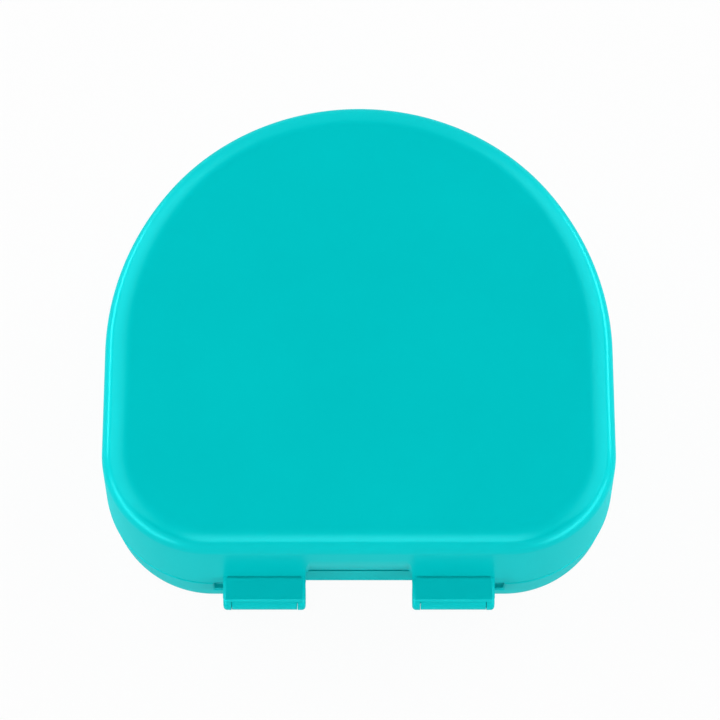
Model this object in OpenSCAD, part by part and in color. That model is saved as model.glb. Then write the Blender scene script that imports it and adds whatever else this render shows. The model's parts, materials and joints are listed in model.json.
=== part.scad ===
// Orthodontic retainer case: a D-shaped box of two moulded shells that turn on two short pins.
// Origin on the resting face, on the line where the front arch starts. +Y is the round front with the
// snap, -Y is the flat hinge wall, +Z is up. Drawn closed.

/* [Case] */
// Width across the straight sides
case_w = 80; // [76:1:90]
// How much further the front arch reaches than a half circle would
nose_stretch = 3.4; // [1:0.2:6]
// From the start of the front arch back to the flat hinge wall
rear_depth = 34.6; // [30:0.2:42]
// Plan radius of the two rear corners
corner_r = 17; // [15:0.5:18]
// Height of the lid above the parting line
lid_h = 14.5; // [13.5:0.5:20]
// Wall of both shells
wall = 2; // [1.8:0.1:2.4]
// Open line between the two rims
parting_gap = 0.3; // [0.2:0.05:0.5]

/* [Lid edge] */
// Radius of the soft crown around the lid top
crown_r = 8; // [5:0.5:12]
// Angle that the crown turns through
crown_angle = 20; // [15:1:35]
// Radius of the edge between crown and side wall
edge_r = 2.5; // [1:0.1:3]
// Radius inside the lid, between ceiling and wall
ceiling_r = 3; // [1:0.5:5]

/* [Base bowl] */
// Draft of the base wall, in degrees
base_draft = 8; // [3:1:10]
// Radius between base wall and resting face
bottom_r = 12; // [6:0.5:12]
// Diameter of the dimple around the moulding gate, under the base
gate_d = 5; // [3:0.5:8]
// Depth of that dimple
gate_depth = 0.35; // [0.2:0.05:0.6]
// Diameter of the nub that the gate leaves in the middle of the dimple
gate_nub_d = 1.7; // [1:0.1:2.5]
// Height of that nub
gate_nub_h = 0.15; // [0.05:0.05:0.15]

/* [Rim and snap] */
// Height of the base lip that stands up inside the lid
lip_h = 2.2; // [1.6:0.1:3]
// Thickness of that lip
lip_t = 0.8; // [0.6:0.1:1]
// Clearance between lip and lid
lip_gap = 0.2; // [0.15:0.05:0.3]
// Radius of the snap bead on the lip
bead_r = 0.4; // [0.3:0.05:0.5]
// Clearance of the bead in its groove
bead_gap = 0.12; // [0.05:0.01:0.15]
// Half of the angle that the bead runs round the front
bead_half_angle = 12; // [6:1:20]
// Free angle in the groove past each end of the bead
bead_end_gap = 1; // [0.5:0.1:2]
// Reach of the thumb lip in front of the lid
thumb_reach = 1.6; // [1:0.1:2.4]
// Thickness of the thumb lip
thumb_t = 1.8; // [1.2:0.1:2.6]
// Half of the angle that the thumb lip runs round the front
thumb_half_angle = 11; // [6:1:20]

/* [Hinge] */
// Distance between the middles of the two hinge tabs
hinge_spacing = 29.5; // [27:0.5:32]
// Width of a hinge tab
tab_w = 12.9; // [11:0.1:14]
// Thickness of the two cheeks of a tab
cheek_t = 1.25; // [1:0.05:1.5]
// Side clearance between knuckle and cheeks
side_gap = 0.2; // [0.15:0.05:0.3]
// Diameter of the hinge pins
pin_d = 2; // [1.6:0.1:2.2]
// Running clearance of the pin in the knuckle, on the radius
running_gap = 0.05; // [0.03:0.01:0.08]
// Seat clearance of the pin in the cheeks, on the radius
seat_gap = 0.01; // [0.01:0.005:0.02]
// How far each pin end sits inside its cheek
pin_inset = 0.2; // [0:0.05:0.4]
// Wall of the knuckle around its bore
knuckle_t = 0.9; // [0.8:0.05:1]
// Clearance between knuckle and hood
hood_gap = 0.25; // [0.2:0.05:0.35]
// Thickness of the hood over the knuckle
hood_t = 0.9; // [0.7:0.05:1.1]
// Where the hood ends, in degrees above the horizontal
nose_angle = 48; // [44:1:56]
// Cheek around the pin, measured from the pin's surface
cheek_rim = 1; // [0.8:0.1:1.4]
// Pin axis outside the flat wall
axis_out = 2.1; // [1.8:0.1:2.6]
// Pin axis below the parting line
axis_drop = 0.5; // [0:0.1:1]
// Thickness of the web that carries the knuckle
web_t = 1.2; // [1:0.05:1.3]
// Top of the web below the pin axis
web_drop = 0.15; // [0.1:0.05:0.3]
// Depth of the hinge recess in the flat wall
recess_d = 2.2; // [1.8:0.1:3]
// Room beside each tab in the base's recess
recess_side = 1.4; // [1:0.1:2]
// Where the lid's recess between the tabs runs out in the wall, above the hood
recess_above = 5; // [4:0.1:6]
// Room under the hood when it has swung down into the base's recess
recess_below = 0.5; // [0.4:0.1:1]
// Wall behind the recess
recess_wall = 1.8; // [1.4:0.1:2.2]
// Lean of the scoop between the tabs, where the base's recess runs out downwards, in degrees
scoop_angle = 22; // [20:1:24]

/* [Hidden] */
$fn = 128;
teal = "#00C1C4";

half_w = case_w / 2;
// The front is a three-centred arch: a nose arc between two flank arcs, tangent on a 3-4-5 triangle
flank_shift = 2 * nose_stretch;
nose_shift = 1.5 * nose_stretch;
flank_r = half_w + flank_shift;
nose_r = half_w + nose_stretch - nose_shift;
flank_angle = atan2(nose_shift, flank_shift);

// The axis lies half way up the closed case, so that the opened lid lies level with the base
base_h = lid_h + 2 * axis_drop;
parting_z = base_h;
top_z = base_h + lid_h;
axis_z = parting_z - axis_drop;
axis_y = -rear_depth - axis_out;
lid_rim_z = parting_z + parting_gap / 2;
base_rim_z = parting_z - parting_gap / 2;

// Lid edge: crown arc and edge arc meet where both normals lean by crown_angle
crown_run = (crown_r - edge_r) * sin(crown_angle) + edge_r;
crown_centre = [-crown_run, top_z - crown_r];
edge_centre = crown_centre + (crown_r - edge_r) * [sin(crown_angle), cos(crown_angle)];

// Base bowl: the bottom arc is tangent to the drafted wall and to the resting face
bowl_x = (-bottom_r + (bottom_r - base_rim_z) * sin(base_draft)) / cos(base_draft);
bowl_centre = [bowl_x, bottom_r];
bowl_normal = [cos(base_draft), -sin(base_draft)];

lip_in = wall / cos(base_draft);
lip_out = lip_in - lip_t;
rebate_in = lip_out - lip_gap;
lip_top_z = base_rim_z + lip_h;
rebate_top_z = lip_top_z + lip_gap;
bead_z = lid_rim_z + (lip_top_z - lid_rim_z) / 2;
// The lip runs along the sides and the front, and stops short of the rear corners
lip_end_y = corner_r - rear_depth;
// The thumb lip is rooted half way into the lid's rim
thumb_root_r = nose_r - rebate_in / 2;

knuckle_bore_r = pin_d / 2 + running_gap;
seat_bore_r = pin_d / 2 + seat_gap;
knuckle_r = knuckle_bore_r + knuckle_t;
hood_in_r = knuckle_r + hood_gap;
hood_r = hood_in_r + hood_t;
cheek_r = pin_d / 2 + cheek_rim;
knuckle_w = tab_w - 2 * cheek_t - 2 * side_gap;
between_tabs = hinge_spacing - tab_w;
recess_w = hinge_spacing + tab_w + 2 * recess_side;
recess_y = recess_d - rear_depth;
recess_top_z = axis_z + hood_r + recess_above;
recess_bottom_z = axis_z - hood_r - recess_below;
// The web is rooted half way into the wall behind the recess
web_root_y = recess_y + recess_wall / 2;
// The sides of the scoop are hidden behind the tabs
scoop_w = between_tabs + 2 * recess_side;

// How far a cut runs past the surface that it opens
cut = 1;
// Too small to see: how far an arc stands proud of the straights that it runs into
hair = 0.001;
// Longer than any distance across the case, for cuts and for filling profiles up to their middle
core = 2 * case_w;

// A disc cut to a box. It stands proud of its radius by a hair, so that no sliver opens beside its tangents
module disc_in_box(centre, r, low, high, hairs = 1) {
  intersection() {
    translate(centre) circle(r + hairs * hair);
    translate(low) square(high - low);
  }
}

// A profile placed at a plan radius and cut off at the axis of its arc
module at_radius(r) {
  intersection() {
    translate([r, 0]) children();
    translate([0, -core]) square([core, 2 * core]);
  }
}

// Both halves of what is mirrored left and right
module both_sides() {
  children();
  mirror([1, 0, 0]) children();
}

// Everything in front of the plane on which the right flank arc runs into the nose arc
module front_of_seam() {
  translate([0, nose_shift, 0]) rotate(flank_angle) box([-core, 0, -core], [core, core, core]);
}

// Carries a profile, whose x is 0 on the outline and negative inside, all round the case
module around_case() {
  intersection() {
    translate([0, nose_shift, 0]) rotate_extrude(angle = 180) at_radius(nose_r) children();
    front_of_seam();
    mirror([1, 0, 0]) front_of_seam();
  }
  both_sides() {
    difference() {
      translate([-flank_shift, 0, 0]) rotate_extrude(angle = 90) at_radius(flank_r) children();
      front_of_seam();
    }
    rotate([90, 0, 0]) linear_extrude(rear_depth - corner_r) at_radius(half_w) children();
    translate([half_w - corner_r, corner_r - rear_depth, 0]) rotate(-90)
      rotate_extrude(angle = 90) at_radius(corner_r) children();
    translate([0, corner_r - rear_depth, 0]) rotate([90, 0, -90])
      linear_extrude(half_w - corner_r) at_radius(corner_r) children();
  }
}

// A profile in the Y-Z plane made a bar along X
module bar_along_x(x, length) {
  translate([x - length / 2, 0, 0]) rotate([90, 0, 90]) linear_extrude(length) children();
}

// A box between two corners
module box(low, high) {
  translate(low) cube(high - low);
}

// The two places of the hinge tabs
module at_hinges() {
  for (side = [-1, 1]) translate([side * hinge_spacing / 2, 0, 0]) children();
}

// Outside of the lid: wall, round edge, soft crown, flat top
module lid_profile() {
  lean = [sin(crown_angle), cos(crown_angle)];
  meet = crown_centre + crown_r * lean;
  past_meet = meet + crown_r * lean;
  polygon([
    [-core, lid_rim_z], [0, lid_rim_z], [0, edge_centre.y],
    meet, [crown_centre.x, top_z], [-core, top_z]
  ]);
  disc_in_box(edge_centre, edge_r, [-core, 0], [0, core], 2);
  intersection() {
    disc_in_box(crown_centre, crown_r, [crown_centre.x, 0], [core, top_z]);
    polygon([crown_centre, past_meet, [crown_centre.x, past_meet.y]]);
  }
}

// Inside of the lid
module lid_cavity_profile() {
  ceiling_z = top_z - wall;
  centre = [-wall - ceiling_r, ceiling_z - ceiling_r];
  polygon([[-core, 0], [-wall, 0], [-wall, centre.y], [centre.x, ceiling_z], [-core, ceiling_z]]);
  disc_in_box(centre, ceiling_r, [-core, 0], [-wall, ceiling_z]);
}

// Base bowl, set in by an even wall
module base_profile(inset, rim_z) {
  r = bottom_r - inset;
  tangent = bowl_centre + r * bowl_normal;
  rim_x = tangent.x + (rim_z - tangent.y) * tan(base_draft);
  polygon([[-core, inset], [bowl_centre.x, inset], tangent, [rim_x, rim_z], [-core, rim_z]]);
  disc_in_box(bowl_centre, r, [bowl_centre.x, inset], [core, bowl_centre.y]);
}

// Plain step: everything further inside than a distance, between two heights
module step_profile(inset, low_z, high_z) {
  translate([-core, low_z]) square([core - inset, high_z - low_z]);
}

// Space in front of the lip's two ends
module front_of_lip_ends(extra = 0) {
  box([-core, lip_end_y - extra, -core], [core, core, core]);
}

// A round bar that follows the nose arc
module nose_bar(inset, z, r, half_angle) {
  translate([0, nose_shift, 0]) rotate(90 - half_angle) rotate_extrude(angle = 2 * half_angle)
    translate([nose_r - inset, z]) circle(r);
}

// Hood and root of a lid tab, seen along the hinge
module hood_section() {
  lean = [-cos(nose_angle), sin(nose_angle)];
  translate([axis_y, lid_rim_z]) square([recess_y - axis_y, axis_z + hood_r - lid_rim_z]);
  translate([axis_y, axis_z]) intersection() {
    circle(hood_r);
    polygon([[0, 0], 2 * hood_r * lean, [0, 2 * hood_r * lean.y], [hood_t, hood_r], [hood_t, 0]]);
  }
}

// Lid tab: a hood over the knuckle between two cheeks
module lid_tab() {
  bar_along_x(0, tab_w) difference() {
    hood_section();
    translate([axis_y, axis_z]) circle(hood_in_r);
  }
  for (side = [-1, 1]) bar_along_x(side * (tab_w - cheek_t) / 2, cheek_t) {
    hood_section();
    translate([axis_y, axis_z]) circle(cheek_r);
  }
}

// Cut or bore on the hinge axis
module on_axis(length, r) {
  bar_along_x(0, length) translate([axis_y, axis_z]) circle(r);
}

// Thumb lip on the front of the lid rim, with round ends
module thumb_lip() {
  translate([0, nose_shift, lid_rim_z]) linear_extrude(thumb_t) difference() {
    union() {
      intersection() {
        circle(nose_r + thumb_reach);
        polygon([[0, 0], for (side = [1, -1]) core * [side * sin(thumb_half_angle), cos(thumb_half_angle)]]);
      }
      for (side = [-1, 1])
        rotate(side * thumb_half_angle) translate([0, nose_r]) circle(thumb_reach + hair);
    }
    circle(thumb_root_r);
  }
}

// Everything outside a face that leans inwards between the tabs, from the flat wall down to the rim
module lid_scoop() {
  slope = recess_d / (recess_top_z - lid_rim_z);
  bar_along_x(0, between_tabs) polygon([
    [-rear_depth - slope * cut, recess_top_z + cut], [recess_y + slope * cut, lid_rim_z - cut],
    [-core, lid_rim_z - cut], [-core, recess_top_z + cut]
  ]);
}

module lid_shell() {
  color(teal) difference() {
    union() {
      difference() {
        around_case() lid_profile();
        difference() {
          around_case() lid_cavity_profile();
          box([-recess_w / 2 - recess_wall, -core, -core],
            [recess_w / 2 + recess_wall, recess_y + recess_wall, recess_top_z]);
        }
        intersection() {
          around_case() step_profile(rebate_in, 0, rebate_top_z);
          front_of_lip_ends(lip_gap);
        }
        lid_scoop();
      }
      at_hinges() lid_tab();
      thumb_lip();
    }
    nose_bar(lip_out, bead_z, bead_r + bead_gap, bead_half_angle + bead_end_gap);
    at_hinges() {
      on_axis(tab_w + 2 * cut, seat_bore_r);
      on_axis(tab_w - 2 * cheek_t, hood_in_r);
    }
  }
}

// Everything outside a face that leans inwards and down from the bottom of the base's recess
module scoop(y, width) {
  rise = cut;
  drop = recess_bottom_z + cut;
  bar_along_x(0, width) polygon([
    [y - rise * tan(scoop_angle), recess_bottom_z + rise], [y + drop * tan(scoop_angle), recess_bottom_z - drop],
    [-core, recess_bottom_z - drop], [-core, recess_bottom_z + rise]
  ]);
}

module base_shell() {
  color(teal) difference() {
    union() {
      difference() {
        union() {
          around_case() base_profile(0, base_rim_z);
          intersection() {
            around_case() step_profile(lip_out, base_rim_z - wall, lip_top_z);
            front_of_lip_ends();
          }
        }
        difference() {
          around_case() base_profile(wall, lip_top_z + cut);
          box([-recess_w / 2 - recess_wall, -core, recess_bottom_z - recess_wall],
            [recess_w / 2 + recess_wall, recess_y + recess_wall, core]);
          scoop(recess_y + recess_wall, scoop_w + 2 * recess_wall);
        }
        box([-recess_w / 2, -core, recess_bottom_z], [recess_w / 2, recess_y, core]);
        scoop(recess_y, scoop_w);
      }
      nose_bar(lip_out, bead_z, bead_r, bead_half_angle);
      at_hinges() {
        on_axis(knuckle_w, knuckle_r);
        box([-knuckle_w / 2, axis_y, axis_z - web_drop - web_t],
          [knuckle_w / 2, web_root_y, axis_z - web_drop]);
      }
    }
    at_hinges() on_axis(knuckle_w + 2 * cut, knuckle_bore_r);
    translate([0, nose_shift, gate_depth]) mirror([0, 0, 1]) difference() {
      cylinder(d = gate_d, h = gate_depth + cut);
      translate([0, 0, -cut]) cylinder(d = gate_nub_d, h = gate_nub_h + cut);
    }
  }
}

// One hinge pin, seated in the cheeks of its tab
module hinge_pin(side) {
  color(teal) translate([side * hinge_spacing / 2, 0, 0]) on_axis(tab_w - 2 * pin_inset, pin_d / 2);
}

module hinge_pin_left() {
  hinge_pin(-1);
}

module hinge_pin_right() {
  hinge_pin(1);
}

lid_shell();
base_shell();
hinge_pin_left();
hinge_pin_right();
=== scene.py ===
"""Retainer case in glossy teal plastic: lid and base mouldings, two hinge pins and a plain stage.

Lengths are in metres and angles in radians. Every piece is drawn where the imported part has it.
"""

import json
import math

import bmesh
import bpy
from mathutils import Matrix, Vector


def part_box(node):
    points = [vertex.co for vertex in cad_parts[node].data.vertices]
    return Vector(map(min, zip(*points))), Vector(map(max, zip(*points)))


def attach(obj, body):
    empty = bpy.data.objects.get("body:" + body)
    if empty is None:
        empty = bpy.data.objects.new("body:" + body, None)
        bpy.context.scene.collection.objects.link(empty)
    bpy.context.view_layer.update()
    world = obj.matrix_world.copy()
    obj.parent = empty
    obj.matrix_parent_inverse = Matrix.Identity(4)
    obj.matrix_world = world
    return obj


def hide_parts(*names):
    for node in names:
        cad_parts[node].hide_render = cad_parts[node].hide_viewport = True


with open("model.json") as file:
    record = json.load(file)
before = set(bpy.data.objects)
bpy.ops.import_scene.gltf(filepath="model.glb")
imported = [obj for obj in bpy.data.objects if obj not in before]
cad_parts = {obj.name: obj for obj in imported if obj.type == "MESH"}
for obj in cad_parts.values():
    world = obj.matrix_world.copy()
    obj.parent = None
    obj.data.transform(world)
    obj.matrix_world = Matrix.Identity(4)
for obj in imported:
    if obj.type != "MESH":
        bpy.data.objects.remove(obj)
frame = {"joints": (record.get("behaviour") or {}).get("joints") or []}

bl_info = {
    "name": "Retainer Case",
    "version": (1, 0, 0),
    "blender": (4, 5, 0),
    "location": "View3D > Sidebar > Retainer Case",
    "description": "Models a hinged retainer case of glossy moulded plastic",
    "category": "Add Mesh",
}

MM = 0.001
# Too small to see: how exactly a place is tested, and how far a tool stands off a face
HAIR = 0.01 * MM
# Points nearer to each other than this become one point
MERGE = 0.2 * HAIR
# How far a cutter reaches past the shape that it cuts
OVERSHOOT = MM
# Share of a normal along an axis from which a face counts as facing that way
FACING = 0.9
# Faces that meet at more than this have a real corner between them
SHARP = math.radians(35)
# Faces that meet at less than this are shaded as one: on the mouldings, and on the floor
SMOOTH = math.radians(32)
FLOOR_SMOOTH = math.radians(40)
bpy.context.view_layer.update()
LID_LOW, LID_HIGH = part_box("lid_shell")
BASE_LOW, BASE_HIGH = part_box("base_shell")
PIN_LOW, PIN_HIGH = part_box("hinge_pin_right")
AXIS_Y, AXIS_Z = frame["joints"][0]["pos_m"][1:]

# The front reaches further than half the width. The centres of its nose arc and its flank arcs lie this
# many times that difference off the middle, so the arcs meet where the normal leans like a 3-4-5 triangle.
NOSE_SHIFT, FLANK_SHIFT = 1.5, 2
SEAM_ANGLE = math.atan2(NOSE_SHIFT, FLANK_SHIFT)

# Where one shape is rooted in another, off its faces: shares of a wall, a recess and a rim's rounding
WALL_ROOT, RECESS_ROOT, RIM_ROOT = 0.8, 0.9, 0.2

QUARTER = math.pi / 2
X, Y, Z = range(3)
ALONG_X = (1, 0, 0)
ALONG_Y = (0, 1, 0)
UP = (0, 0, 1)


def linear(hex_colour):
    """Turns an sRGB hex colour into linear red, green and blue."""
    shares = [int(hex_colour[i:i + 2], 16) / 255 for i in (1, 3, 5)]
    return [c / 12.92 if c <= 0.04045 else ((c + 0.055) / 1.055) ** 2.4 for c in shares]


def distance(name, description, default):
    """A length that a user may change."""
    return bpy.props.FloatProperty(
        name=name, description=description, default=default, subtype="DISTANCE", unit="LENGTH", precision=5
    )


def angle(name, description, degrees):
    """An angle that a user may change."""
    return bpy.props.FloatProperty(
        name=name, description=description, default=math.radians(degrees), subtype="ANGLE", unit="ROTATION"
    )


def colour(name, description, hex_colour):
    """A colour that a user may change, written as sRGB hex."""
    return bpy.props.FloatVectorProperty(
        name=name, description=description, default=linear(hex_colour), subtype="COLOR", min=0, max=1
    )


def share(name, description, default):
    """A share from 0 to 1 that a user may change."""
    return bpy.props.FloatProperty(
        name=name, description=description, default=default, min=0, max=1, subtype="FACTOR"
    )


def glow(name, description, default):
    """Brightness of a lamp's face, where 1 shows as white."""
    return bpy.props.FloatProperty(name=name, description=description, default=default, min=0)


def group(kind, name, description):
    """A group of settings inside the settings of the whole case."""
    return bpy.props.PointerProperty(type=kind, name=name, description=description)


class RetainerShellSizes(bpy.types.PropertyGroup):
    """Sizes of the two mouldings"""

    half_width: distance("Half width", "From the middle to the straight sides", LID_HIGH.x)
    nose_y: distance("Front", "Y of the round front", BASE_HIGH.y)
    wall_y: distance("Hinge wall", "Y of the flat hinge wall", -34.6 * MM)
    corner: distance("Corner radius", "Plan radius of the two rear corners", 17 * MM)
    top_z: distance("Top", "Height of the closed case", LID_HIGH.z)
    lid_rim_z: distance("Lid rim", "Height of the lid's lower edge", 15.65 * MM)
    base_rim_z: distance("Base rim", "Height of the base's upper edge", 15.35 * MM)
    wall: distance("Wall", "Wall of both mouldings", 2 * MM)
    crown: distance("Crown radius", "Soft crown around the lid top", 8 * MM)
    crown_angle: angle("Crown angle", "Angle that the crown turns through", 20)
    edge: distance("Edge radius", "Edge between crown and side wall", 2.5 * MM)
    ceiling: distance("Ceiling radius", "Inside the lid, between ceiling and wall", 3 * MM)
    draft: angle("Draft", "Draft of the base wall", 8)
    bottom: distance("Bottom radius", "Between the base wall and the resting face", 12 * MM)
    rim_softness: distance("Rim rounding", "Rounding of the outer rims", 0.3 * MM)
    inner_softness: distance("Inner rim rounding", "Rounding of the lid's inner rim", 0.2 * MM)


class RetainerSnapSizes(bpy.types.PropertyGroup):
    """Sizes of the lip, the snap, the thumb lip and the gate mark"""

    lip_top_z: distance("Lip top", "Height of the lip that stands up inside the lid", BASE_HIGH.z)
    lip: distance("Lip thickness", "Thickness of that lip at its root", 0.8 * MM)
    lip_softness: distance("Lip rounding", "Radius of the round top of that lip", 0.25 * MM)
    gap: distance("Lip clearance", "Clearance between lip and lid", 0.2 * MM)
    bead: distance("Bead radius", "Radius of the snap bead on the lip", 0.4 * MM)
    bead_gap: distance("Bead clearance", "Clearance of the bead in its groove", 0.12 * MM)
    bead_half: angle("Bead half angle", "Half of the angle that the bead runs round the front", 12)
    bead_end: angle("Groove end", "Free angle in the groove past each end of the bead", 1)
    thumb_reach: distance("Thumb lip reach", "How far the thumb lip stands out", LID_HIGH.y - BASE_HIGH.y)
    thumb: distance("Thumb lip thickness", "Thickness of the thumb lip", 1.8 * MM)
    thumb_half: angle("Thumb lip half angle", "Half of the angle that it runs round the front", 11)
    thumb_softness: distance("Thumb lip rounding", "Rounding of its outer edges", 0.4 * MM)
    gate: distance("Gate dimple", "Radius of the dimple under the base", 2.5 * MM)
    gate_depth: distance("Gate depth", "Depth of that dimple", 0.35 * MM)
    nub: distance("Gate nub", "Radius of the nub in the dimple", 0.85 * MM)
    nub_height: distance("Nub height", "Height of that nub", 0.15 * MM)


class RetainerHingeSizes(bpy.types.PropertyGroup):
    """Sizes of the hinge tabs, knuckles, pins and recess"""

    tab_x: distance(
        "Tab place", "From the middle of the case to the middle of a tab", (PIN_LOW.x + PIN_HIGH.x) / 2
    )
    tab: distance("Tab width", "Width of a hinge tab", 12.86 * MM)
    land: distance("Land width", "Width of the wall that carries a tab", 12.9 * MM)
    tab_softness: distance("Tab rounding", "Rounding of the tab's outer edges", 0.6 * MM)
    cheek: distance("Cheek", "Thickness of the two cheeks of a tab", 1.25 * MM)
    cheek_radius: distance("Cheek radius", "Radius of a cheek around the pin", AXIS_Z - LID_LOW.z)
    pin: distance("Pin radius", "Radius of a hinge pin", (PIN_HIGH.z - PIN_LOW.z) / 2)
    pin_length: distance("Pin length", "Length of a hinge pin", PIN_HIGH.x - PIN_LOW.x)
    pin_softness: distance("Pin rounding", "Rounding of the pin ends", 0.2 * MM)
    running_gap: distance("Running clearance", "Between pin and knuckle", 0.05 * MM)
    seat_gap: distance("Seat clearance", "Between pin and cheeks", 0.01 * MM)
    knuckle: distance("Knuckle radius", "Outside of a knuckle", AXIS_Y - BASE_LOW.y)
    knuckle_length: distance("Knuckle length", "Length of a knuckle", 10.2 * MM)
    knuckle_softness: distance("Knuckle rounding", "Rounding of the knuckle ends", 0.06 * MM)
    hood: distance("Hood radius", "Outside of the hood over a knuckle", 3.1 * MM)
    hood_wall: distance("Hood wall", "Thickness of that hood", 0.95 * MM)
    hood_reach: distance("Hood reach", "How far the hood reaches past the pin axis", 2.07 * MM)
    hood_lean: angle("Hood lean", "How far the flat top of the hood leans outwards", 6)
    crease: distance("Crease", "Height of the fine crease between a tab and the wall", 0.25 * MM)
    web: distance("Web", "Thickness of the web that carries a knuckle", 1.2 * MM)
    web_drop: distance("Web drop", "Top of the web below the pin axis", 0.15 * MM)
    recess: distance("Recess depth", "Depth of the hinge recess in the flat wall", 2.2 * MM)
    recess_side: distance("Recess side", "Room beside each tab", 1.4 * MM)
    recess_top_z: distance("Recess top", "Where the lid's leaning recess meets the wall", 23.1 * MM)
    recess_bottom_z: distance("Recess bottom", "Lower end of the recess", 11.4 * MM)
    recess_wall: distance("Recess wall", "Wall behind the recess", 1.8 * MM)
    scoop: angle("Scoop", "Lean of the scoop between the tabs, under the base's recess", 22)
    root_softness: distance("Root rounding", "Rounding at the back of the recess", 0.8 * MM)
    blend: distance("Blend", "Radius where the lid's recess runs out in the wall", 16 * MM)
    scoop_softness: distance("Scoop rounding", "Rounding of the base's recess and scoop", 0.4 * MM)


class RetainerFinish(bpy.types.PropertyGroup):
    """Colours and gloss of the plastic"""

    teal: colour("Teal", "Pigment of the plastic", "#00C1C4")
    pale: colour("Pale teal", "Where the pigment lies thinner", "#00C7C9")
    pigment_gloss: share("Pigment gloss", "Share of the gloss that takes the pigment's own hue", 0.16)
    roughness: share("Roughness", "Roughness of the moulded surface", 0.32)
    skin: share("Skin", "Share of the clear polished skin", 0.02)
    skin_roughness: share("Skin roughness", "Roughness of that skin", 0.2)
    skin_ior: bpy.props.FloatProperty(
        name="Skin IOR", description="Refractive index of that skin", default=3, min=1, max=4
    )


class RetainerStage(bpy.types.PropertyGroup):
    """Camera, lamps and floor"""

    tilt: angle("Camera tilt", "Camera's lean from the vertical", 25.35)
    camera_distance: distance("Camera distance", "From the camera to the case", 0.6)
    lens: bpy.props.FloatProperty(
        name="Lens", description="Focal length on a 36 mm sensor", default=186.4, unit="CAMERA"
    )
    target: bpy.props.FloatVectorProperty(
        name="Target", description="Point in the middle of the picture",
        default=(0.17 * MM, 4.1 * MM, 15.5 * MM), subtype="XYZ", unit="LENGTH"
    )
    lamp_distance: distance("Lamp distance", "From the lamps to the case", 1.2)
    overhead: glow("Overhead softbox", "Glow of the softbox over the hinge side", 3.7)
    side: glow("Side softboxes", "Glow of the low softboxes at both sides", 3.8)
    bank: glow("Side banks", "Glow of the high banks at both sides", 1.95)
    strip: glow("Side strips", "Glow of the low strips at both sides", 36)
    room: glow("Room light", "Even light of the room", 0.06)
    floor_radius: distance("Floor radius", "Radius of the coved floor", 2.0)
    floor_paint: colour("Floor", "Paint of the pale floor and backdrop", "#DADADA")


class RetainerCase(bpy.types.PropertyGroup):
    """Everything that can be changed on the retainer case"""

    shell: group(RetainerShellSizes, "Mouldings", "Lid and base")
    snap: group(RetainerSnapSizes, "Snap", "Lip, bead, thumb lip and gate mark")
    hinge: group(RetainerHingeSizes, "Hinge", "Tabs, knuckles, pins and recess")
    finish: group(RetainerFinish, "Finish", "Plastic")
    stage: group(RetainerStage, "Stage", "Camera, lamps and floor")


# Working in edit mode


def pick(piece):
    """Makes one piece the only selected one, in object mode."""
    if bpy.context.mode != "OBJECT":
        bpy.ops.object.mode_set(mode="OBJECT")
    bpy.ops.object.select_all(action="DESELECT")
    if piece:
        piece.select_set(True)
        bpy.context.view_layer.objects.active = piece
    return piece


def added(name):
    """Names the primitive that was just added and puts its place into its mesh."""
    piece = pick(bpy.context.object)
    piece.name = name
    bpy.ops.object.transform_apply(location=True, rotation=True, scale=True)
    return piece


def edit(piece, kind):
    """Opens a piece in edit mode with nothing selected."""
    pick(piece)
    bpy.ops.object.mode_set(mode="EDIT")
    bpy.ops.mesh.select_mode(type=kind)
    bpy.ops.mesh.select_all(action="DESELECT")


def select(piece, kind, test):
    """Selects only what passes a test, in the piece that is open in edit mode."""
    bpy.ops.mesh.select_mode(type=kind)
    bpy.ops.mesh.select_all(action="DESELECT")
    shape = bmesh.from_edit_mesh(piece.data)
    for part in {"VERT": shape.verts, "EDGE": shape.edges, "FACE": shape.faces}[kind]:
        if test(part):
            part.select_set(True)
    shape.select_flush_mode()
    bmesh.update_edit_mesh(piece.data)


def start_line(name, place):
    """Starts a drawn line as one point: a small plane merged to its middle."""
    pick(None)
    bpy.ops.mesh.primitive_plane_add(size=MM, location=place)
    piece = added(name)
    edit(piece, "VERT")
    bpy.ops.mesh.select_all(action="SELECT")
    bpy.ops.mesh.merge(type="CENTER")
    return piece


def draw_to(start, end):
    """Draws a straight line on from the selected point."""
    bpy.ops.mesh.extrude_vertices_move(TRANSFORM_OT_translate={"value": Vector(end) - Vector(start)})
    return end


def sweep(value):
    """Extrudes what is selected."""
    bpy.ops.mesh.extrude_region_move(TRANSFORM_OT_translate={"value": value})


def turn(centre, axis, amount, steps):
    """Sweeps what is selected round an axis, clockwise when the axis points at the viewer."""
    bpy.ops.mesh.spin(steps=steps, angle=amount, center=centre, axis=axis)


def close_up(piece):
    """Merges a finished sweep and points its faces outwards."""
    bpy.ops.mesh.select_all(action="SELECT")
    bpy.ops.mesh.remove_doubles(threshold=MERGE)
    bpy.ops.mesh.normals_make_consistent(inside=False)
    return pick(piece)


def fill_and_extrude(piece, value):
    """Makes a drawn outline a face and the face a block."""
    bpy.ops.mesh.select_all(action="SELECT")
    bpy.ops.mesh.remove_doubles(threshold=MERGE)
    bpy.ops.mesh.select_all(action="SELECT")
    bpy.ops.mesh.edge_face_add()
    sweep(value)
    return close_up(piece)


def box(name, low, high):
    """A block between two corners."""
    pick(None)
    low, high = Vector(low), Vector(high)
    bpy.ops.mesh.primitive_cube_add(size=1, location=(low + high) / 2, scale=high - low)
    return added(name)


def bar_on_axis(name, centre_x, length, radius):
    """A round bar on the hinge axis."""
    pick(None)
    bpy.ops.mesh.primitive_cylinder_add(
        vertices=72, radius=radius, depth=length, location=(centre_x, AXIS_Y, AXIS_Z),
        rotation=(0, QUARTER, 0),
    )
    return added(name)


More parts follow.
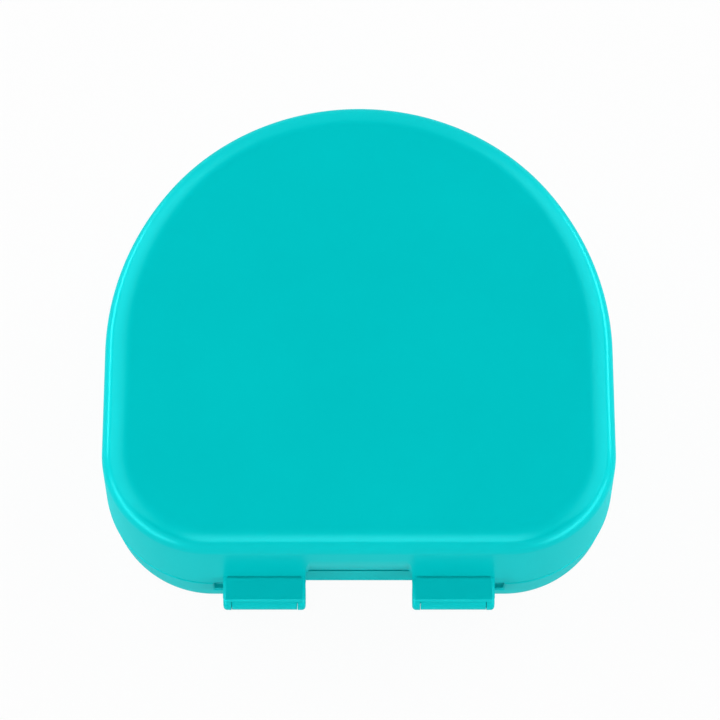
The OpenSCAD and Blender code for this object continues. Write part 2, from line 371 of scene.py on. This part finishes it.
def soften(piece, test, radius, segments=4):
    """Rounds the edges that pass a test."""
    edit(piece, "EDGE")
    select(piece, "EDGE", test)
    done = bpy.ops.mesh.bevel(
        offset=radius, offset_type="OFFSET", segments=segments, affect="EDGES", clamp_overlap=False
    )
    if done != {"FINISHED"}:
        raise RuntimeError(f"{piece.name} has no edge to round")
    return pick(piece)


def modify(piece, kind, **settings):
    """Adds a modifier to a piece and applies it."""
    pick(piece)
    bpy.ops.object.modifier_add(type=kind)
    modifier = piece.modifiers[-1]
    for name, value in settings.items():
        setattr(modifier, name, value)
    bpy.ops.object.modifier_apply(modifier=modifier.name)
    return piece


def combine(piece, tool, operation):
    """Adds a tool to a piece, or cuts it out, and uses the tool up."""
    modify(piece, "BOOLEAN", operation=operation, object=tool, solver="EXACT")
    if not piece.data.polygons:
        raise RuntimeError(f"{tool.name} left nothing of {piece.name}")
    bpy.data.objects.remove(tool)
    return piece


def copy_beside(piece, name, step):
    """A copy of a piece with its own mesh, moved along X."""
    pick(piece)
    bpy.ops.object.duplicate(linked=False)
    bpy.ops.transform.translate(value=(step, 0, 0))
    return added(name)


def is_sharp(edge):
    """Whether two faces meet at a real corner."""
    return len(edge.link_faces) == 2 and edge.calc_face_angle() > SHARP


def lies_on(edge, axis, value):
    """Whether both ends of an edge have the same given place along an axis."""
    return all(abs(v.co[axis] - value) < HAIR for v in edge.verts)


def at_ends(edge, half):
    """Whether an edge lies on the left or the right end of a block in the middle of the case."""
    return lies_on(edge, X, -half) or lies_on(edge, X, half)


def faces_up(face):
    """Whether a face looks upwards."""
    return face.normal.z > FACING


def finish_moulding(piece, body, node, material):
    """Gives a moulding its shading, its plastic and its place in the part."""
    pick(piece)
    bpy.ops.object.shade_smooth_by_angle(angle=SMOOTH)
    modify(piece, "WEIGHTED_NORMAL", keep_sharp=True)
    piece.data.materials.clear()
    piece.data.materials.append(material)
    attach(piece, body)
    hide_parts(node)


# The D-shaped plan


def nose_arc(shell):
    """Plan centre and radius of the nose arc."""
    stretch = shell.nose_y - shell.half_width
    return Vector((0, NOSE_SHIFT * stretch, 0)), shell.nose_y - NOSE_SHIFT * stretch


def half_sweep(piece, shell, side_stop, test, change):
    """Sweeps the drawn profile from the middle of the front round to the middle of the hinge wall.

    Behind side_stop the points that pass the test are changed, because lip and rebate end there.
    """
    stretch = shell.nose_y - shell.half_width
    corner_y = shell.wall_y + shell.corner
    bpy.ops.mesh.select_all(action="SELECT")
    turn(nose_arc(shell)[0], UP, QUARTER - SEAM_ANGLE, steps=36)
    turn((-FLANK_SHIFT * stretch, 0, 0), UP, SEAM_ANGLE, steps=28)
    sweep((0, side_stop, 0))
    alter_ring(piece, test, change)
    if side_stop > corner_y:
        sweep((0, corner_y - side_stop, 0))
    turn((shell.half_width - shell.corner, corner_y, 0), UP, QUARTER, steps=36)
    sweep((shell.corner - shell.half_width, 0, 0))


def alter_ring(piece, test, change):
    """Repeats the selected ring in place, changes the points that pass a test and keeps it selected."""
    sweep((0, 0, 0))
    shape = bmesh.from_edit_mesh(piece.data)
    shape.verts.index_update()
    ring = {v.index for v in shape.verts if v.select}
    altered = {v.index for v in shape.verts if v.select and test(v.co)}
    select(piece, "VERT", lambda v: v.index in altered)
    change()
    select(piece, "VERT", lambda v: v.index in ring)


def mirror_and_fill(piece):
    """Mirrors a half sweep and closes its two flat middles."""
    close_up(piece)
    modify(piece, "MIRROR", merge_threshold=HAIR)
    edit(piece, "EDGE")
    bpy.ops.mesh.select_all(action="SELECT")
    bpy.ops.mesh.remove_doubles(threshold=MERGE)
    bpy.ops.mesh.fill_holes(sides=0)
    return close_up(piece)


def round_bar(name, shell, inset, z, radius, half_angle):
    """A round bar that follows the nose arc."""
    centre, nose = nose_arc(shell)
    reach = nose - inset
    place = centre + Vector((-reach * math.sin(half_angle), reach * math.cos(half_angle), z))
    pick(None)
    bpy.ops.mesh.primitive_circle_add(
        vertices=24, radius=radius, fill_type="NGON", location=place, rotation=(0, QUARTER, half_angle)
    )
    bar = added(name)
    edit(bar, "FACE")
    bpy.ops.mesh.select_all(action="SELECT")
    turn(centre, UP, 2 * half_angle, steps=24)
    return close_up(bar)


def lip_outside(shell, snap):
    """How far the outside of the base's lip lies inside the outline."""
    return shell.wall / math.cos(shell.draft) - snap.lip


def bead_height(shell, snap):
    """Height of the snap bead."""
    return (shell.lid_rim_z + snap.lip_top_z) / 2


# The hinge recess


def recess_half(hinge):
    """Half of the width of the hinge recess."""
    return hinge.tab_x + hinge.land / 2 + hinge.recess_side


def recess_housing(shell, hinge, low_z, high_z):
    """Block that stands inside the flat wall, behind the recess, with round inner edges."""
    half = recess_half(hinge) + hinge.recess_wall
    front_y = shell.wall_y + WALL_ROOT * shell.wall
    back_y = shell.wall_y + hinge.recess + hinge.recess_wall
    block = box("housing", (-half, front_y, low_z), (half, back_y, high_z))
    return soften(block, lambda e: lies_on(e, Y, back_y), hinge.root_softness)


def recess_cutter(shell, hinge):
    """Block that cuts the recess into the base's flat wall, round at the back and flared at its mouth.

    The mouth lies a hair outside the wall, which leans by the draft, and widens into a flange there.
    """
    half = recess_half(hinge)
    back_y = shell.wall_y + hinge.recess
    mouth_y = shell.wall_y - HAIR
    low_z = hinge.recess_bottom_z
    high_z = shell.lid_rim_z + 4 * OVERSHOOT
    flange = 2 * MM
    cutter = box("recess", (-half, mouth_y, low_z), (half, back_y, high_z))
    soften(cutter, lambda e: lies_on(e, Y, back_y), hinge.root_softness)
    edit(cutter, "VERT")
    lean = {z: (shell.base_rim_z - z) * math.tan(shell.draft) for z in (low_z, high_z)}
    for z, shift in lean.items():
        select(cutter, "VERT", lambda v: abs(v.co.y - mouth_y) < HAIR and abs(v.co.z - z) < HAIR)
        bpy.ops.transform.translate(value=(0, shift, 0))
    select(cutter, "FACE", lambda f: f.normal.y < -FACING)
    sweep((0, 0, 0))
    middle = (0, mouth_y + sum(lean.values()) / 2, (low_z + high_z) / 2)
    wider = 1 + flange / half
    taller = 1 + 2 * flange / (high_z - low_z)
    bpy.ops.transform.resize(value=(wider, taller, taller), center_override=middle)
    sweep((0, -flange, 0))
    return soften(cutter, lambda e: is_sharp(e) and not e.is_convex, hinge.scoop_softness)


def soften_ends(cutter, half, outer_y, radius):
    """Rounds those edges at both ends of a cutter that lie further in than a Y."""
    return soften(cutter, lambda e: at_ends(e, half) and all(v.co.y > outer_y for v in e.verts), radius)


# The lid


def lid_body(shell, snap):
    """Lid without its hinge: crown, edge, wall, rebate for the lip, and the hollow inside."""
    run = (shell.crown - shell.edge) * math.sin(shell.crown_angle) + shell.edge
    crown_z = shell.top_z - shell.crown
    edge_z = crown_z + (shell.crown - shell.edge) * math.cos(shell.crown_angle)
    rebate = lip_outside(shell, snap) - snap.gap
    rebate_z = snap.lip_top_z + snap.gap
    ceiling_z = shell.top_z - shell.wall - shell.ceiling
    rim_z = shell.lid_rim_z
    outer, inner = shell.rim_softness, shell.inner_softness
    outline = shell.nose_y

    lid = start_line("lid_moulding", (0, outline - run, shell.top_z))
    turn((0, outline - run, crown_z), ALONG_X, shell.crown_angle, steps=12)
    turn((0, outline - shell.edge, edge_z), ALONG_X, QUARTER - shell.crown_angle, steps=16)
    draw_to((0, outline, edge_z), (0, outline, rim_z + outer))
    turn((0, outline - outer, rim_z + outer), ALONG_X, QUARTER, steps=5)
    draw_to((0, outline - outer, rim_z), (0, outline - rebate + inner, rim_z))
    turn((0, outline - rebate + inner, rim_z + inner), ALONG_X, QUARTER, steps=3)
    at = draw_to((0, outline - rebate, rim_z + inner), (0, outline - rebate, rebate_z))
    at = draw_to(at, (0, outline - shell.wall, rebate_z))
    draw_to(at, (0, outline - shell.wall, ceiling_z))
    turn((0, outline - shell.wall - shell.ceiling, ceiling_z), ALONG_X, -QUARTER, steps=10)

    step_in = shell.half_width - shell.wall + HAIR
    step_out = shell.half_width - rebate + inner + HAIR
    half_sweep(
        lid, shell, shell.wall_y + shell.corner,
        lambda co: co.z < rebate_z + HAIR and step_in < co.x < step_out,
        lambda: bpy.ops.transform.translate(value=(rebate - shell.wall, 0, 0)),
    )
    return mirror_and_fill(lid)


def lid_scoop(shell, hinge):
    """Block outside a face that leans inwards between the tabs and runs out softly in the wall above."""
    half = hinge.tab_x - hinge.land / 2
    lean = math.atan2(hinge.recess, hinge.recess_top_z - shell.lid_rim_z)
    start = Vector((-half, shell.wall_y - HAIR, hinge.recess_top_z + hinge.blend * math.tan(lean / 2)))
    centre = start + Vector((0, hinge.blend, 0))
    end = centre - hinge.blend * Vector((0, math.cos(lean), math.sin(lean)))
    low = end + (end.z - shell.lid_rim_z + OVERSHOOT) * Vector((0, math.tan(lean), -1))
    outside = Vector((-half, 2 * shell.wall_y, start.z))

    cutter = start_line("lid_scoop", outside)
    draw_to(outside, start)
    turn(centre, ALONG_X, -lean, steps=10)
    at = draw_to(end, low)
    draw_to(at, (-half, outside.y, low.z))
    fill_and_extrude(cutter, (2 * half, 0, 0))
    return soften_ends(cutter, half, start.y - HAIR, hinge.root_softness)


def cut_lid_recess(lid, shell, hinge):
    """Puts the housing into the lid and cuts the recess between the two tabs."""
    low_z = shell.lid_rim_z + shell.rim_softness
    combine(lid, recess_housing(shell, hinge, low_z, hinge.recess_top_z), "UNION")
    combine(lid, lid_scoop(shell, hinge), "DIFFERENCE")


def hood_top(hinge, y):
    """Height of the hood's leaning top, which would touch a round hood over the pin axis."""
    return AXIS_Z + (hinge.hood + math.sin(hinge.hood_lean) * (y - AXIS_Y)) / math.cos(hinge.hood_lean)


def lid_tab(shell, hinge):
    """One hinge tab: a flat-topped hood over the knuckle with a round cheek at each end."""
    low_x = hinge.tab_x - hinge.tab / 2
    root_y = shell.wall_y + RECESS_ROOT * hinge.recess
    root_z = shell.lid_rim_z + RIM_ROOT * shell.rim_softness
    nose_y = AXIS_Y - hinge.hood_reach
    nose = Vector((low_x, nose_y, hood_top(hinge, nose_y)))
    axis = Vector((low_x, AXIS_Y, AXIS_Z))
    out = (nose - axis).normalized()
    inside = math.asin((root_z - AXIS_Z) / hinge.cheek_radius)

    tab = start_line("right_tab", (low_x, root_y, root_z))
    at = draw_to((low_x, root_y, root_z), (low_x, root_y, hood_top(hinge, root_y)))
    at = draw_to(at, nose)
    draw_to(at, axis + hinge.cheek_radius * out)
    turn(axis, ALONG_X, -math.pi - math.atan2(out.z, -out.y) - inside, steps=44)
    fill_and_extrude(tab, (hinge.tab, 0, 0))

    def shows(edge):
        at_end = lies_on(edge, X, low_x) or lies_on(edge, X, low_x + hinge.tab)
        at_nose = lies_on(edge, Y, nose.y) and lies_on(edge, Z, nose.z)
        return at_nose or at_end and not lies_on(edge, Y, root_y)

    soften(tab, shows, hinge.tab_softness, segments=5)
    room = bar_on_axis("room", hinge.tab_x, hinge.tab - 2 * hinge.cheek, hinge.hood - hinge.hood_wall)
    combine(tab, room, "DIFFERENCE")
    bore = bar_on_axis("bore", hinge.tab_x, 2 * hinge.tab, hinge.pin + hinge.seat_gap)
    return combine(tab, bore, "DIFFERENCE")


def tab_crease(shell, hinge):
    """Cutter for the fine crease where the top of a tab meets the wall, clear of the tab's round ends."""
    half = hinge.tab / 2 - 1.2 * hinge.tab_softness
    outwards, inwards = hinge.crease, 1.5 * hinge.crease
    down, up = 0.4 * hinge.crease, 0.6 * hinge.crease
    top_z = hood_top(hinge, shell.wall_y)
    return box(
        "right_crease", (hinge.tab_x - half, shell.wall_y - outwards, top_z - down),
        (hinge.tab_x + half, shell.wall_y + inwards, top_z + up),
    )


def thumb_lip(shell, snap):
    """Plate on the front of the lid's rim, with round ends, rooted in the rim."""
    centre, nose = nose_arc(shell)
    low = Vector((0, 0, shell.lid_rim_z + RIM_ROOT * shell.rim_softness))
    left = Vector((-math.sin(snap.thumb_half), math.cos(snap.thumb_half), 0))
    right = Vector((-left.x, left.y, 0))
    round_end = math.radians(105)
    root_half = snap.thumb_half + math.atan2(
        snap.thumb_reach * math.sin(round_end), nose + snap.thumb_reach * math.cos(round_end)
    )
    plate = start_line("thumb_lip", centre + low + left * (nose + snap.thumb_reach))
    turn(centre, UP, 2 * snap.thumb_half, steps=26)
    turn(centre + right * nose, UP, round_end, steps=14)
    turn(centre, UP, -2 * root_half, steps=26)
    turn(centre + left * nose, UP, round_end, steps=14)
    fill_and_extrude(plate, (0, 0, snap.thumb + shell.lid_rim_z - low.z))

    def shows(edge):
        outside = all((v.co.xy - centre.xy).length > nose - HAIR for v in edge.verts)
        return outside and is_sharp(edge) and edge.verts[0].co.z == edge.verts[1].co.z

    return soften(plate, shows, snap.thumb_softness)


class RETAINER_OT_lid(bpy.types.Operator):
    """Model the lid with its hinge tabs, thumb lip and snap groove"""

    bl_idname = "retainer.lid"
    bl_label = "Lid"
    bl_options = {"REGISTER", "UNDO"}

    def execute(self, context):
        case = context.scene.retainer_case
        shell, snap, hinge = case.shell, case.snap, case.hinge
        lid = lid_body(shell, snap)
        cut_lid_recess(lid, shell, hinge)
        right = lid_tab(shell, hinge)
        left = copy_beside(right, "left_tab", -2 * hinge.tab_x)
        for addition in (right, left, thumb_lip(shell, snap)):
            combine(lid, addition, "UNION")
        right = tab_crease(shell, hinge)
        left = copy_beside(right, "left_crease", -2 * hinge.tab_x)
        for crease in (right, left):
            combine(lid, crease, "DIFFERENCE")
        groove = round_bar(
            "groove", shell, lip_outside(shell, snap), bead_height(shell, snap),
            snap.bead + snap.bead_gap, snap.bead_half + snap.bead_end,
        )
        combine(lid, groove, "DIFFERENCE")
        finish_moulding(lid, "lid", "lid_shell", plastic(case.finish))
        return {"FINISHED"}


# The base


def bowl_inset(shell):
    """How far inside the outline the bottom arc has its centre: it touches wall and resting face."""
    sloped = (shell.base_rim_z - shell.bottom) * math.sin(shell.draft)
    return (shell.bottom + sloped) / math.cos(shell.draft)


def base_body(shell, snap):
    """Base without its hinge: bowl, drafted wall, rim, lip and the hollow inside."""
    lean = Vector((0, math.cos(shell.draft), -math.sin(shell.draft)))
    outline = shell.nose_y
    rim_z = shell.base_rim_z
    centre = Vector((0, outline - bowl_inset(shell), shell.bottom))
    inside = shell.bottom - shell.wall
    outer = shell.rim_softness
    rim_inset = outer * (1 + math.sin(shell.draft)) / math.cos(shell.draft)
    rim_centre = Vector((0, outline - rim_inset, rim_z - outer))
    lip_y = outline - lip_outside(shell, snap)
    round_z = snap.lip_top_z - snap.lip_softness

    base = start_line("base_moulding", (0, centre.y, 0))
    turn(centre, ALONG_X, shell.draft - QUARTER, steps=24)
    draw_to(centre + shell.bottom * lean, rim_centre + outer * lean)
    turn(rim_centre, ALONG_X, -QUARTER - shell.draft, steps=5)
    at = draw_to((0, rim_centre.y, rim_z), (0, lip_y, rim_z))
    draw_to(at, (0, lip_y, round_z))
    turn((0, lip_y - snap.lip_softness, round_z), ALONG_X, -math.pi, steps=8)
    draw_to((0, lip_y - 2 * snap.lip_softness, round_z), centre + inside * lean)
    turn(centre, ALONG_X, QUARTER - shell.draft, steps=20)
    half_sweep(
        base, shell, shell.wall_y + shell.corner + snap.gap,
        lambda co: co.z > rim_z + HAIR,
        lambda: bpy.ops.transform.resize(value=(1, 1, 0), center_override=(0, 0, rim_z)),
    )
    return mirror_and_fill(base)


def scoop_width(hinge):
    """Width of the scoop, whose sides are hidden behind the tabs."""
    return 2 * (hinge.tab_x - hinge.land / 2 + hinge.recess_side)


def scoop_hump(shell, hinge):
    """Wall behind the scoop, inside the base: a leaning face that is rooted half way into the bowl."""
    half = scoop_width(hinge) / 2 + hinge.recess_wall
    bowl = Vector((-half, shell.wall_y + bowl_inset(shell), shell.bottom))
    middle = shell.bottom - shell.wall / 2
    foot_angle = math.radians(64)
    rooted, set_back = 0.5 * MM, 0.2 * MM
    top_z = hinge.recess_bottom_z + rooted
    top_y = shell.wall_y + hinge.recess + hinge.recess_wall - set_back
    foot = bowl + middle * Vector((0, -math.cos(foot_angle), -math.sin(foot_angle)))
    wall = bowl + middle * Vector((0, -math.cos(shell.draft), -math.sin(shell.draft)))

    hump = start_line("hump", (-half, top_y, top_z))
    draw_to((-half, top_y, top_z), foot)
    turn(bowl, ALONG_X, foot_angle - shell.draft, steps=16)
    draw_to(wall, (-half, wall.y - (top_z - wall.z) * math.tan(shell.draft), top_z))
    fill_and_extrude(hump, (2 * half, 0, 0))

    def leans(edge):
        inmost = max(v.co.y for v in edge.verts)
        highest = max(v.co.z for v in edge.verts)
        return at_ends(edge, half) and inmost > foot.y - HAIR and highest > top_z - HAIR

    return soften(hump, leans, hinge.root_softness)


def scoop_cutter(shell, hinge):
    """Block outside a face that leans inwards and down from the bottom of the recess."""
    half = scoop_width(hinge) / 2
    steep = math.tan(hinge.scoop)
    start = Vector((-half, shell.wall_y + hinge.recess, hinge.recess_bottom_z))
    depth = 1.2 * hinge.recess_bottom_z
    above = start + OVERSHOOT * Vector((0, -steep, 1))
    below = start + depth * Vector((0, steep, -1))
    cutter = start_line("scoop", above)
    at = draw_to(above, below)
    at = draw_to(at, (-half, 2 * shell.wall_y, below.z))
    draw_to(at, (-half, 2 * shell.wall_y, above.z))
    fill_and_extrude(cutter, (2 * half, 0, 0))
    return soften_ends(cutter, half, above.y - HAIR, hinge.root_softness)


def cut_base_recess(base, shell, hinge):
    """Puts the housing and the hump into the base, and cuts the scoop and the recess."""
    under_rim = 0.1 * MM
    low_z = hinge.recess_bottom_z - hinge.recess_wall
    combine(base, recess_housing(shell, hinge, low_z, shell.base_rim_z - under_rim), "UNION")
    combine(base, scoop_hump(shell, hinge), "UNION")
    combine(base, scoop_cutter(shell, hinge), "DIFFERENCE")
    half = scoop_width(hinge) / 2
    soften(base, lambda e: is_sharp(e) and e.is_convex and at_ends(e, half), hinge.scoop_softness)
    combine(base, recess_cutter(shell, hinge), "DIFFERENCE")


def knuckle(shell, hinge):
    """One knuckle on its web, bored for the pin."""
    half = hinge.knuckle_length / 2
    web_half = half - 2 * hinge.knuckle_softness
    web_top = AXIS_Z - hinge.web_drop
    roll = bar_on_axis("right_knuckle", hinge.tab_x, 2 * half, hinge.knuckle)
    soften(roll, is_sharp, hinge.knuckle_softness, segments=3)
    web = box(
        "web", (hinge.tab_x - web_half, AXIS_Y, web_top - hinge.web),
        (hinge.tab_x + web_half, shell.wall_y + hinge.recess + hinge.recess_wall / 2, web_top),
    )
    combine(roll, web, "UNION")
    bore = bar_on_axis("bore", hinge.tab_x, 2 * hinge.tab, hinge.pin + hinge.running_gap)
    return combine(roll, bore, "DIFFERENCE")


def gate_mark(shell, snap):
    """Cutter for the dimple that the moulding gate leaves, with its nub."""
    pick(None)
    bpy.ops.mesh.primitive_cylinder_add(
        vertices=64, radius=snap.gate, depth=2 * snap.gate_depth, location=nose_arc(shell)[0]
    )
    mark = added("gate")
    edit(mark, "FACE")
    select(mark, "FACE", faces_up)
    bpy.ops.mesh.inset(thickness=snap.gate - snap.nub)
    sweep((0, 0, -snap.nub_height))
    return close_up(mark)


class RETAINER_OT_base(bpy.types.Operator):
    """Model the base with its lip, snap bead and knuckles"""

    bl_idname = "retainer.base"
    bl_label = "Base"
    bl_options = {"REGISTER", "UNDO"}

    def execute(self, context):
        case = context.scene.retainer_case
        shell, snap, hinge = case.shell, case.snap, case.hinge
        base = base_body(shell, snap)
        cut_base_recess(base, shell, hinge)
        right = knuckle(shell, hinge)
        left = copy_beside(right, "left_knuckle", -2 * hinge.tab_x)
        inset = lip_outside(shell, snap) + HAIR
        end_softness = 0.6 * snap.bead
        bead = round_bar("bead", shell, inset, bead_height(shell, snap), snap.bead, snap.bead_half)
        soften(bead, is_sharp, end_softness, segments=3)
        for addition in (right, left, bead):
            combine(base, addition, "UNION")
        combine(base, gate_mark(shell, snap), "DIFFERENCE")
        finish_moulding(base, "base", "base_shell", plastic(case.finish))
        return {"FINISHED"}


class RETAINER_OT_pins(bpy.types.Operator):
    """Model the two hinge pins"""

    bl_idname = "retainer.pins"
    bl_label = "Hinge pins"
    bl_options = {"REGISTER", "UNDO"}

    def execute(self, context):
        case = context.scene.retainer_case
        hinge = case.hinge
        right = bar_on_axis("right_pin", hinge.tab_x, hinge.pin_length, hinge.pin)
        soften(right, is_sharp, hinge.pin_softness)
        left = copy_beside(right, "left_pin", -2 * hinge.tab_x)
        for pin, node in ((right, "hinge_pin_right"), (left, "hinge_pin_left")):
            finish_moulding(pin, "lid", node, plastic(case.finish))
        return {"FINISHED"}


# The plastic


def add_node(tree, kind, settings=None, links=None):
    """Adds a node, sets its properties or inputs by name, and links its inputs to other nodes' outputs."""
    node = tree.nodes.new(kind)
    for name, value in (settings or {}).items():
        if isinstance(name, str) and hasattr(node, name):
            setattr(node, name, value)
        else:
            node.inputs[name].default_value = value
    for name, source in (links or {}).items():
        tree.links.new(node.inputs[name], source)
    return node


def plastic(finish):
    """Moulded polypropylene from a polished mould: an even opaque teal with a clear gloss.

    The eye sees slow ripples in the reflections, faintly uneven pigment and a polish that varies a little.
    """
    name = "moulded_teal_polypropylene"
    if name in bpy.data.materials:
        return bpy.data.materials[name]
    pigment_patch, polish_patch, ripple_patch = 22 * MM, 6 * MM, 16 * MM
    ripple_height = 0.02 * MM
    smoother, rougher = 0.94, 1.06
    material = bpy.data.materials.new(name)
    material.use_nodes = True
    tree = material.node_tree
    tree.nodes.clear()
    place = add_node(tree, "ShaderNodeTexCoord").outputs["Object"]
    pigment = add_node(
        tree, "ShaderNodeTexNoise", {"Scale": 1 / pigment_patch, "Detail": 2}, {"Vector": place}
    )
    tint = add_node(
        tree, "ShaderNodeMix", {"data_type": "RGBA", 6: (*finish.teal, 1), 7: (*finish.pale, 1)},
        {"Factor": pigment.outputs["Fac"]},
    )
    polish = add_node(
        tree, "ShaderNodeTexNoise", {"Scale": 1 / polish_patch, "Detail": 3}, {"Vector": place}
    )
    rough = add_node(
        tree, "ShaderNodeMapRange",
        {"To Min": smoother * finish.roughness, "To Max": rougher * finish.roughness},
        {"Value": polish.outputs["Fac"]},
    )
    ripple = add_node(
        tree, "ShaderNodeTexNoise", {"Scale": 1 / ripple_patch, "Detail": 1}, {"Vector": place}
    )
    waves = add_node(
        tree, "ShaderNodeBump", {"Strength": 1, "Distance": ripple_height}, {"Height": ripple.outputs["Fac"]}
    )
    shader = add_node(
        tree, "ShaderNodeBsdfPrincipled",
        {
            "Metallic": finish.pigment_gloss, "Specular IOR Level": 0, "Coat Weight": finish.skin,
            "Coat Roughness": finish.skin_roughness, "Coat IOR": finish.skin_ior,
        },
        {
            "Base Color": tint.outputs[2], "Roughness": rough.outputs["Result"],
            "Normal": waves.outputs["Normal"],
        },
    )
    add_node(tree, "ShaderNodeOutputMaterial", links={"Surface": shader.outputs["BSDF"]})
    return material


# The stage


def softbox(name, target, away, along, reach, size, brightness):
    """A soft lamp that faces the case from a direction, with its first side along an axis."""
    away = Vector(away).normalized()
    side = (Vector(along) - Vector(along).project(away)).normalized()
    turned = Matrix((side, away.cross(side), away)).transposed()
    pick(None)
    bpy.ops.object.light_add(type="AREA", location=target + reach * away, rotation=turned.to_euler())
    lamp = bpy.context.object
    lamp.name = name
    lamp.data.shape = "RECTANGLE"
    lamp.data.size, lamp.data.size_y = size
    lamp.data.energy = brightness * math.pi * size[0] * size[1]


def floor_material(stage):
    """Matt pale paint, shown as almost even white to the camera and in reflections, with a faint shadow."""
    white_share = 0.95
    material = bpy.data.materials.new("matt_pale_floor")
    material.use_nodes = True
    tree = material.node_tree
    tree.nodes.clear()
    path = add_node(tree, "ShaderNodeLightPath")
    seen = path.outputs["Is Camera Ray"]
    for kind in ("Is Glossy Ray", "Is Transmission Ray"):
        seen = add_node(
            tree, "ShaderNodeMath", {"operation": "MAXIMUM"}, {0: seen, 1: path.outputs[kind]}
        ).outputs["Value"]
    whitened = add_node(tree, "ShaderNodeMath", {"operation": "MULTIPLY", 1: white_share}, {0: seen})
    paint = add_node(tree, "ShaderNodeBsdfDiffuse", {"Color": (*stage.floor_paint, 1)})
    white = add_node(tree, "ShaderNodeEmission", {"Color": (1, 1, 1, 1), "Strength": 1})
    mixed = add_node(
        tree, "ShaderNodeMixShader",
        links={0: whitened.outputs["Value"], 1: paint.outputs["BSDF"], 2: white.outputs["Emission"]},
    )
    add_node(tree, "ShaderNodeOutputMaterial", links={"Surface": mixed.outputs["Shader"]})
    return material


def coved_floor(stage):
    """Floor that curves up into a round backdrop and lies a hair below the resting face."""
    height = stage.floor_radius
    cove = 0.3 * stage.floor_radius
    low_z = -2 * HAIR
    pick(None)
    bpy.ops.mesh.primitive_cylinder_add(
        vertices=128, radius=stage.floor_radius, depth=height, location=(0, 0, low_z + height / 2)
    )
    floor = added("floor")
    edit(floor, "FACE")
    select(floor, "FACE", faces_up)
    bpy.ops.mesh.delete(type="FACE")
    soften(floor, lambda e: lies_on(e, Z, low_z), cove, segments=12)
    edit(floor, "FACE")
    bpy.ops.mesh.select_all(action="SELECT")
    bpy.ops.mesh.flip_normals()
    pick(floor)
    bpy.ops.object.shade_smooth_by_angle(angle=FLOOR_SMOOTH)
    floor.data.materials.append(floor_material(stage))


class RETAINER_OT_stage(bpy.types.Operator):
    """Set up the floor, the lamps and the camera"""

    bl_idname = "retainer.stage"
    bl_label = "Stage"
    bl_options = {"REGISTER", "UNDO"}

    def execute(self, context):
        stage = context.scene.retainer_case.stage
        target = Vector(stage.target)
        coved_floor(stage)

        back = Vector((0, -math.sin(stage.tilt), math.cos(stage.tilt)))
        bpy.ops.object.camera_add(
            location=target + back * stage.camera_distance,
            rotation=(-back).to_track_quat("-Z", "Y").to_euler(),
        )
        camera = context.object
        camera.name = "camera"
        camera.data.lens = stage.lens
        camera.data.sensor_width = 36
        camera.data.clip_start = 10 * MM
        context.scene.camera = camera

        lamps = (
            ("overhead_softbox", (0, -0.4, 0.92), ALONG_X, (0.5, 0.55), stage.overhead),
            ("left_softbox", (-0.86, -0.46, 0.21), ALONG_Y, (1.5, 0.45), stage.side),
            ("right_softbox", (0.86, -0.46, 0.21), ALONG_Y, (1.5, 0.45), stage.side),
            ("left_bank", (-0.55, 0.36, 0.75), ALONG_Y, (1.3, 0.65), stage.bank),
            ("right_bank", (0.55, 0.36, 0.75), ALONG_Y, (1.3, 0.65), stage.bank),
            ("left_strip", (-0.79, 0.57, 0.16), ALONG_Y, (0.68, 0.06), stage.strip),
            ("right_strip", (0.79, 0.57, 0.16), ALONG_Y, (0.68, 0.06), stage.strip),
        )
        for name, away, along, size, brightness in lamps:
            softbox(name, target, away, along, stage.lamp_distance, size, brightness)

        world = bpy.data.worlds.new("room")
        world.use_nodes = True
        ground = world.node_tree.nodes["Background"]
        ground.inputs["Color"].default_value = (1, 1, 1, 1)
        ground.inputs["Strength"].default_value = stage.room
        context.scene.world = world
        context.scene.view_settings.view_transform = "Standard"
        return {"FINISHED"}


class RETAINER_PT_case(bpy.types.Panel):
    """Pieces of the retainer case"""

    bl_label = "Retainer Case"
    bl_idname = "RETAINER_PT_case"
    bl_space_type = "VIEW_3D"
    bl_region_type = "UI"
    bl_category = "Retainer Case"

    def draw(self, context):
        for operator in OPERATORS:
            self.layout.operator(operator.bl_idname)


GROUPS = (
    RetainerShellSizes, RetainerSnapSizes, RetainerHingeSizes, RetainerFinish, RetainerStage, RetainerCase
)
OPERATORS = (RETAINER_OT_lid, RETAINER_OT_base, RETAINER_OT_pins, RETAINER_OT_stage)
CLASSES = GROUPS + OPERATORS + (RETAINER_PT_case,)


def register():
    for item in CLASSES:
        bpy.utils.register_class(item)
    bpy.types.Scene.retainer_case = bpy.props.PointerProperty(type=RetainerCase)


def unregister():
    del bpy.types.Scene.retainer_case
    for item in reversed(CLASSES):
        bpy.utils.unregister_class(item)


def main():
    """Builds the case piece by piece, then the stage."""
    register()
    bpy.ops.retainer.lid()
    bpy.ops.retainer.base()
    bpy.ops.retainer.pins()
    bpy.ops.retainer.stage()


if __name__ == "__main__":
    main()
